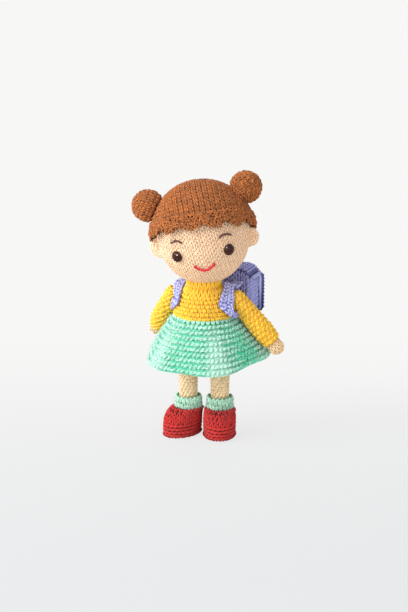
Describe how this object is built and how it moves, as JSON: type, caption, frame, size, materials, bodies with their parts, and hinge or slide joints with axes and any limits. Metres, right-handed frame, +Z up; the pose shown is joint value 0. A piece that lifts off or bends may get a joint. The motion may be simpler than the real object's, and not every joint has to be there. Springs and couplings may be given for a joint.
{
  "type": "crocheted doll",
  "caption": "Crocheted standing doll with side hair buns, a jumper, a flared skirt, ankle socks, shoes and a small backpack with an opening flap.",
  "frame": {"origin": "middle of the doll's bounding box, on the surface it stands on", "axes": "+Z up from the soles to the hair, -Y the way the body faces, +X the doll's left side"},
  "size_m": [0.0798, 0.0704, 0.1408],
  "materials": {
    "face_yarn": "matte crocheted cotton yarn",
    "hair_yarn": "matte crocheted yarn with a looped fringe",
    "jumper_yarn": "matte crocheted cotton yarn",
    "skirt_yarn": "soft fuzzy crocheted yarn",
    "sock_yarn": "soft fuzzy crocheted yarn",
    "shoe_yarn": "matte crocheted cotton yarn",
    "pack_yarn": "matte crocheted cotton yarn",
    "edging_yarn": "matte crocheted cotton yarn",
    "eye_plastic": "glossy",
    "washer_plastic": "matte",
    "brow_thread": "stranded embroidery thread",
    "mouth_thread": "stranded embroidery thread",
    "stuffing_fibre": "loose polyester fibre",
    "insole_card": "matte stiff sheet",
    "rod_wood": "plain turned wood"
  },
  "bodies": {
    "torso": {"jumper_body": "jumper_yarn", "torso_stuffing": "stuffing_fibre", "hips": "face_yarn", "skirt": "skirt_yarn", "leg_left": "face_yarn", "leg_right": "face_yarn", "leg_stuffing_left": "stuffing_fibre", "leg_stuffing_right": "stuffing_fibre", "sock_left": "sock_yarn", "sock_right": "sock_yarn", "shoe_left": "shoe_yarn", "shoe_right": "shoe_yarn", "insole_left": "insole_card", "insole_right": "insole_card", "foot_stuffing_left": "stuffing_fibre", "foot_stuffing_right": "stuffing_fibre", "backpack_pouch": "pack_yarn", "strap_left": "pack_yarn", "strap_right": "pack_yarn"},
    "neck": {"neck_rod": "rod_wood"},
    "head": {"head_shell": "face_yarn", "head_stuffing": "stuffing_fibre", "hair_cap": "hair_yarn", "hair_fringe": "hair_yarn", "bun_left": "hair_yarn", "bun_right": "hair_yarn", "bun_stuffing_left": "stuffing_fibre", "bun_stuffing_right": "stuffing_fibre", "ear_left": "face_yarn", "ear_right": "face_yarn", "eye_left": "eye_plastic", "eye_right": "eye_plastic", "eye_washer_left": "washer_plastic", "eye_washer_right": "washer_plastic", "eyebrow_left": "brow_thread", "eyebrow_right": "brow_thread", "mouth": "mouth_thread"},
    "arm_left": {"sleeve_left": "jumper_yarn", "hand_left": "face_yarn", "arm_stuffing_left": "stuffing_fibre"},
    "arm_right": {"sleeve_right": "jumper_yarn", "hand_right": "face_yarn", "arm_stuffing_right": "stuffing_fibre"},
    "pack_flap": {"backpack_flap": "pack_yarn", "flap_edging": "edging_yarn"}
  },
  "joints": [
    {"name": "head_turn", "type": "hinge", "parent": "torso", "child": "neck", "pos_m": [-0.00174, -0.00179, 0.106], "axis": [0, 0, 1], "range_deg": [-48, 12]},
    {"name": "head_tilt", "type": "hinge", "parent": "neck", "child": "head", "pos_m": [-0.00174, -0.00179, 0.106], "axis": [0.309, -0.9511, 0], "range_deg": [-18.5, 1.5]},
    {"name": "left_arm_lift", "type": "hinge", "parent": "torso", "child": "arm_left", "pos_m": [0.01606, 0.00021, 0.07439], "axis": [0.2588, -0.9659, 0], "range_deg": [0, 40]},
    {"name": "right_arm_lift", "type": "hinge", "parent": "torso", "child": "arm_right", "pos_m": [-0.01954, 0.00021, 0.07439], "axis": [0.6691, 0.7431, 0], "range_deg": [0, 39]},
    {"name": "flap_lift", "type": "hinge", "parent": "torso", "child": "pack_flap", "pos_m": [-0.00024, 0.01641, 0.0861], "axis": [1, 0, 0], "range_deg": [0, 45]}
  ]
}
